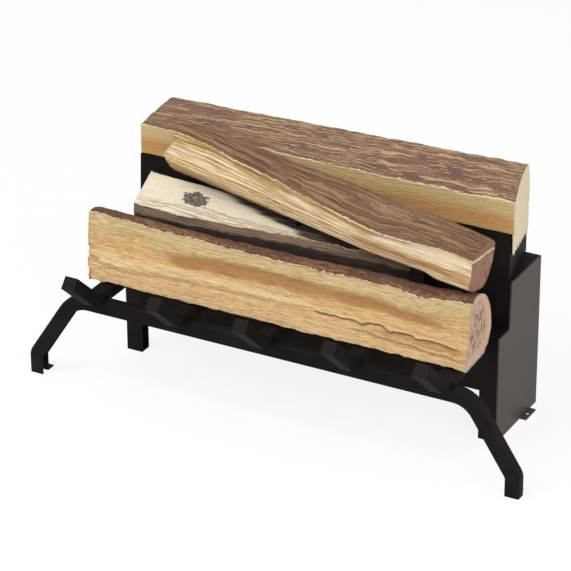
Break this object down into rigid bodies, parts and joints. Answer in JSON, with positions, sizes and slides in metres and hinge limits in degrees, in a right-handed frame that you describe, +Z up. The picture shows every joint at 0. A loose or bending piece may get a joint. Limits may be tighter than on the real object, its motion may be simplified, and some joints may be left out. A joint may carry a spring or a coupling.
{
  "type": "electric fireplace log set",
  "caption": "Moulded split logs on a black steel grate stand with a rear light housing, a flicker rotor driven by a small motor, and a control tower at the right end.",
  "frame": {"origin": "centre of the whole set's bounding box, on the floor", "axes": "+X to the right along the logs, +Y to the back, +Z up"},
  "size_m": [0.61, 0.2664, 0.2967],
  "materials": {
    "black_paint": "satin black powder coat",
    "zinc_steel": "zinc plated",
    "rear_log_wood": "moulded split log, brown bark with tan furrows, tan sawn face",
    "top_log_wood": "moulded split log, brown bark and pale yellow split face",
    "middle_log_wood": "moulded split log, cream split face with a dark knot",
    "front_log_wood": "moulded split log, tan split face with grain",
    "bright_aluminium": "bright rolled",
    "soft_rubber": "matt",
    "bush_brass": "turned",
    "frosted_acrylic": "frosted",
    "board_resin": "green solder mask",
    "white_nylon": "moulded",
    "black_plastic": "moulded"
  },
  "bodies": {
    "stand": {"front_rail": "black_paint", "left_stand": "black_paint", "tower_casing": "black_paint", "tower_side_plate": "black_paint", "grate_bar_1": "black_paint", "grate_bar_2": "black_paint", "grate_bar_3": "black_paint", "grate_bar_4": "black_paint", "grate_bar_5": "black_paint", "housing_shell": "black_paint", "housing_lid": "black_paint", "back_cover": "black_paint", "bar_screw_1": "zinc_steel", "bar_screw_2": "zinc_steel", "bar_screw_3": "zinc_steel", "bar_screw_4": "zinc_steel", "bar_screw_5": "zinc_steel", "tower_screw_1": "zinc_steel", "tower_screw_2": "zinc_steel", "back_screw_1": "zinc_steel", "back_screw_2": "zinc_steel", "back_screw_3": "zinc_steel", "back_screw_4": "zinc_steel", "motor_screw_1": "zinc_steel", "motor_screw_2": "zinc_steel", "front_log_screw_1": "zinc_steel", "front_log_screw_2": "zinc_steel", "middle_log_screw_1": "zinc_steel", "middle_log_screw_2": "zinc_steel", "rear_log_screw_1": "zinc_steel", "rear_log_screw_2": "zinc_steel", "log_pin_1": "black_paint", "log_pin_2": "black_paint", "flicker_motor": "zinc_steel", "rear_log": "rear_log_wood", "top_log": "top_log_wood", "middle_log": "middle_log_wood", "front_log": "front_log_wood", "rotor_bush": "bush_brass", "light_window": "frosted_acrylic", "lamp_board": "board_resin", "control_board": "board_resin", "lamp_standoff_1": "white_nylon", "lamp_standoff_2": "white_nylon", "control_spacer_1": "white_nylon", "control_spacer_2": "white_nylon", "power_inlet": "black_plastic", "switch_bezel": "black_plastic", "lamp_lead": "soft_rubber"},
    "rotor": {"flicker_rotor": "bright_aluminium", "rotor_coupling": "soft_rubber", "motor_shaft": "zinc_steel"},
    "rocker": {"power_rocker": "black_plastic"}
  },
  "joints": [
    {"name": "rotor_spin", "type": "hinge", "parent": "stand", "child": "rotor", "pos_m": [0, 0.08894, 0.15], "axis": [1, 0, 0], "continuous": true},
    {"name": "rocker_tilt", "type": "hinge", "parent": "stand", "child": "rocker", "pos_m": [0.22145, 0.12824, 0.086], "axis": [1, 0, 0], "range_deg": [-16, 0]}
  ]
}
